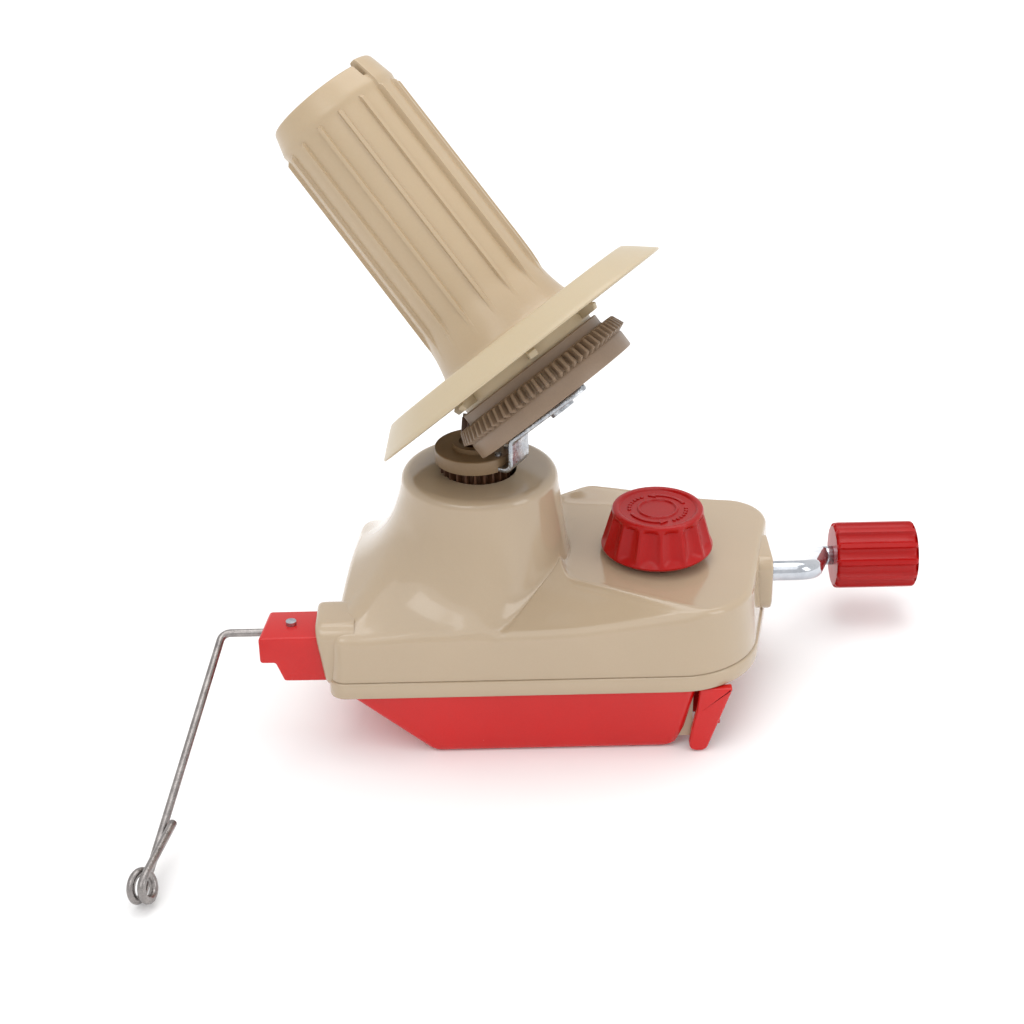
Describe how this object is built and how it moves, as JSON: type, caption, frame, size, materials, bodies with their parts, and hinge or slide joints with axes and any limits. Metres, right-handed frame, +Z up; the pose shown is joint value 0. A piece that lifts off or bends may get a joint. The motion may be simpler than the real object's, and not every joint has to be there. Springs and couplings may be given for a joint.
{
  "type": "hand-cranked yarn ball winder",
  "caption": "Table-clamp yarn ball winder: a crank turns a revolving carrier whose tilted cone rolls round a fixed pinion, with a swinging wire yarn guide and a screw clamp jaw.",
  "frame": {"origin": "where the tower's vertical axis meets the flat underside of the clamp jaw, on which the closed winder stands", "axes": "+Z up along the tower's axis, +X towards the crank, -X towards the yarn guide, -Y the side on which the guide's arm lies"},
  "size_m": [0.2883, 0.1913, 0.2349],
  "materials": {
    "casing_cream": "smooth moulded plastic, slightly glossy",
    "cone_cream": "smooth moulded plastic, slightly glossy",
    "red_plastic": "glossy red moulded plastic",
    "gear_tan": "moulded nylon, satin",
    "disc_brown": "moulded nylon, satin",
    "gear_dark": "dark moulded nylon, satin",
    "zinc_steel": "bright zinc plate",
    "chrome_steel": "bright plated rod",
    "wire_steel": "bright drawn wire"
  },
  "bodies": {
    "housing": {"upper_casing": "casing_cream", "base_plate": "casing_cream", "casing_screws": "zinc_steel", "gear_bracket": "zinc_steel", "bracket_screws": "zinc_steel", "drive_axle": "zinc_steel", "crank_bush": "gear_tan", "center_post": "zinc_steel", "fixed_pinion": "gear_dark", "thrust_washer": "zinc_steel", "guide_holder": "red_plastic", "guide_spring": "wire_steel", "holder_screw": "zinc_steel"},
    "crank": {"crank_rod": "chrome_steel", "crank_gear": "gear_tan", "shaft_clip": "zinc_steel", "shaft_collar": "zinc_steel", "handle_washer": "zinc_steel"},
    "handle": {"crank_handle": "red_plastic"},
    "drive": {"drive_gear": "gear_tan"},
    "carrier": {"carrier_gear": "gear_dark", "carrier_disc": "disc_brown", "carrier_bracket": "zinc_steel", "bracket_rivets": "zinc_steel", "cone_axle": "zinc_steel", "axle_washer": "zinc_steel", "axle_clip": "zinc_steel"},
    "cone": {"cone_gear": "gear_tan", "yarn_tray": "cone_cream", "winding_cone": "cone_cream", "cone_screws": "zinc_steel"},
    "guide": {"guide_wire": "wire_steel"},
    "knob": {"clamp_knob": "red_plastic", "clamp_screw": "zinc_steel", "screw_clip": "zinc_steel", "knob_washer": "zinc_steel"},
    "jaw": {"clamp_jaw": "red_plastic", "clamp_nut": "zinc_steel"}
  },
  "joints": [
    {"name": "crank_turn", "type": "hinge", "parent": "housing", "child": "crank", "pos_m": [0, 0.009, 0.0437], "axis": [1, 0, 0], "continuous": true},
    {"name": "handle_spin", "type": "hinge", "parent": "crank", "child": "handle", "pos_m": [0.14, 0.05, 0.0264], "axis": [1, 0, 0], "continuous": true},
    {"name": "drive_turn", "type": "hinge", "parent": "housing", "child": "drive", "pos_m": [0, 0, 0.061], "axis": [1, 0, 0], "continuous": true},
    {"name": "carrier_turn", "type": "hinge", "parent": "housing", "child": "carrier", "pos_m": [0, 0, 0.09], "axis": [0, 0, 1], "continuous": true},
    {"name": "cone_spin", "type": "hinge", "parent": "carrier", "child": "cone", "pos_m": [0.02432, -0.01348, 0.13201], "axis": [-0.5965, 0.3306, 0.7314], "continuous": true},
    {"name": "guide_swing", "type": "hinge", "parent": "housing", "child": "guide", "pos_m": [-0.0905, -0.031, 0.0462], "axis": [-1, 0, 0], "range_deg": [0, 120]},
    {"name": "knob_turn", "type": "hinge", "parent": "housing", "child": "knob", "pos_m": [0.0653, -0.0015, 0.0604], "axis": [0, 0, 1], "range_deg": [0, 3960]},
    {"name": "jaw_slide", "type": "slide", "parent": "housing", "child": "jaw", "axis": [0, 0, -1], "range_m": [0, 0.022]}
  ],
  "couplings": [
    {"joint": "drive_turn", "follows": "crank_turn", "ratio": -1.6},
    {"joint": "carrier_turn", "follows": "crank_turn", "ratio": 4},
    {"joint": "cone_spin", "follows": "crank_turn", "ratio": 0.44444},
    {"joint": "knob_turn", "follows": "jaw_slide", "rad_per_m": 3141.6}
  ]
}
